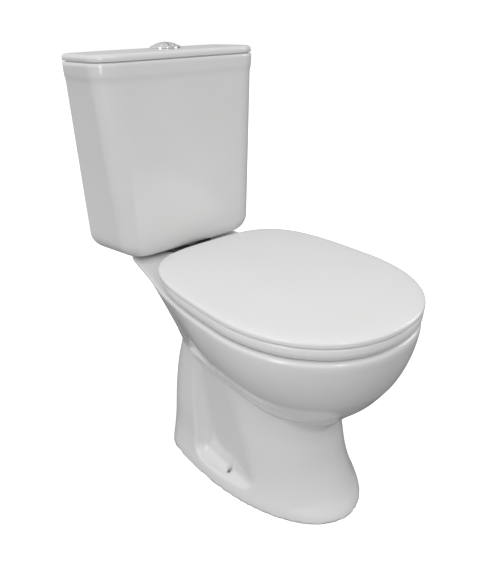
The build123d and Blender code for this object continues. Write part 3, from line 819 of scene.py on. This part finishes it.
def add_floor():
    """Plain pale floor: a large disc, white to the eye and a softer reflector of light."""
    turn = np.linspace(0, 2 * pi, 65)[:-1]
    loops = [np.column_stack([r * np.cos(turn), r * np.sin(turn), np.full(64, -0.4)]) for r in (2, 600, 2500, 14000)]
    floor = stacked("floor", loops, caps=False)
    mat = bpy.data.materials.new("pale_floor")
    mat.use_nodes = True
    nodes, links = mat.node_tree.nodes, mat.node_tree.links
    nodes.clear()
    out, mix = nodes.new("ShaderNodeOutputMaterial"), nodes.new("ShaderNodeMixShader")
    add = nodes.new("ShaderNodeAddShader")
    seen, glow, bounce = (nodes.new("ShaderNodeBsdfDiffuse"), nodes.new("ShaderNodeEmission"),
                          nodes.new("ShaderNodeBsdfDiffuse"))
    ray = nodes.new("ShaderNodeLightPath")
    seen.inputs["Color"].default_value = (0.8, 0.8, 0.8, 1)
    glow.inputs["Strength"].default_value = 0.62
    bounce.inputs["Color"].default_value = (FLOOR_BOUNCE, FLOOR_BOUNCE, FLOOR_BOUNCE, 1)
    links.new(seen.outputs[0], add.inputs[0])
    links.new(glow.outputs[0], add.inputs[1])
    links.new(ray.outputs["Is Camera Ray"], mix.inputs[0])
    links.new(bounce.outputs[0], mix.inputs[1])
    links.new(add.outputs[0], mix.inputs[2])
    links.new(mix.outputs[0], out.inputs["Surface"])
    floor.data.materials.append(mat)


def add_light(name, place, aim, width, height, power):
    """Soft box turned from its place towards the aim. Metres and watts."""
    data = bpy.data.lights.new(name, "AREA")
    data.shape, data.size, data.size_y, data.energy = "RECTANGLE", width, height, power
    light = link(name, data)
    light.location = place
    light.rotation_euler = (Vector(aim) - Vector(place)).to_track_quat("-Z", "Y").to_euler()


def add_world(middle, lean):
    """Soft studio surroundings, brighter along the lean vector, and plain white to the eye."""
    world = bpy.data.worlds.new("studio")
    world.use_nodes = True
    nodes, links = world.node_tree.nodes, world.node_tree.links
    room, white = nodes["Background"], nodes.new("ShaderNodeBackground")
    place, dot = nodes.new("ShaderNodeTexCoord"), nodes.new("ShaderNodeVectorMath")
    level = nodes.new("ShaderNodeMath")
    ray, mix = nodes.new("ShaderNodeLightPath"), nodes.new("ShaderNodeMixShader")
    room.inputs["Color"].default_value = white.inputs["Color"].default_value = (1, 1, 1, 1)
    dot.operation, dot.inputs[1].default_value = "DOT_PRODUCT", lean
    level.inputs[1].default_value = middle          # the node adds by default
    links.new(place.outputs["Generated"], dot.inputs[0])
    links.new(dot.outputs["Value"], level.inputs[0])
    links.new(level.outputs[0], room.inputs["Strength"])
    links.new(ray.outputs["Is Camera Ray"], mix.inputs[0])
    links.new(room.outputs[0], mix.inputs[1])
    links.new(white.outputs[0], mix.inputs[2])
    links.new(mix.outputs[0], nodes["World Output"].inputs["Surface"])
    bpy.context.scene.world = world


def add_camera():
    """Camera on the left of the front, above the seat, level with the cistern."""
    turn, lift, roll = radians(-37.67), radians(25.1), radians(-1.86)
    back = Vector((sin(turn) * cos(lift), -cos(turn) * cos(lift), sin(lift)))
    right = (-back).cross(Vector((0, 0, 1))).normalized()
    up = right.cross(-back)
    across, upright = right * cos(roll) + up * sin(roll), up * cos(roll) - right * sin(roll)
    camera = link("camera", bpy.data.cameras.new("camera"))
    pose = Matrix((across, upright, back)).transposed().to_4x4()
    pose.translation = Vector((-0.5785, -0.7362, 0.8223))
    camera.matrix_world = pose
    camera.data.sensor_fit, camera.data.sensor_height, camera.data.lens = "VERTICAL", 36, 35.61
    camera.data.clip_start = 0.01
    bpy.context.scene.camera = camera


add_floor()
add_world(0.64, (-0.22, 0.0, 0.15))
add_light("left_softbox", (-1.9, -0.5, 1.1), (0, 0.1, 0.5), 0.5, 1.6, 8)
add_light("right_softbox", (1.8, -0.9, 1.3), (0, 0, 0.4), 0.8, 1.2, 8)
add_light("high_strip", (-0.6, -2.2, 2.0), (0, -0.2, 0.35), 0.25, 1.4, 7)
add_camera()
view = bpy.context.scene.view_settings
view.view_transform, view.look, view.exposure, view.gamma = "Standard", "None", 0.0, 1.0
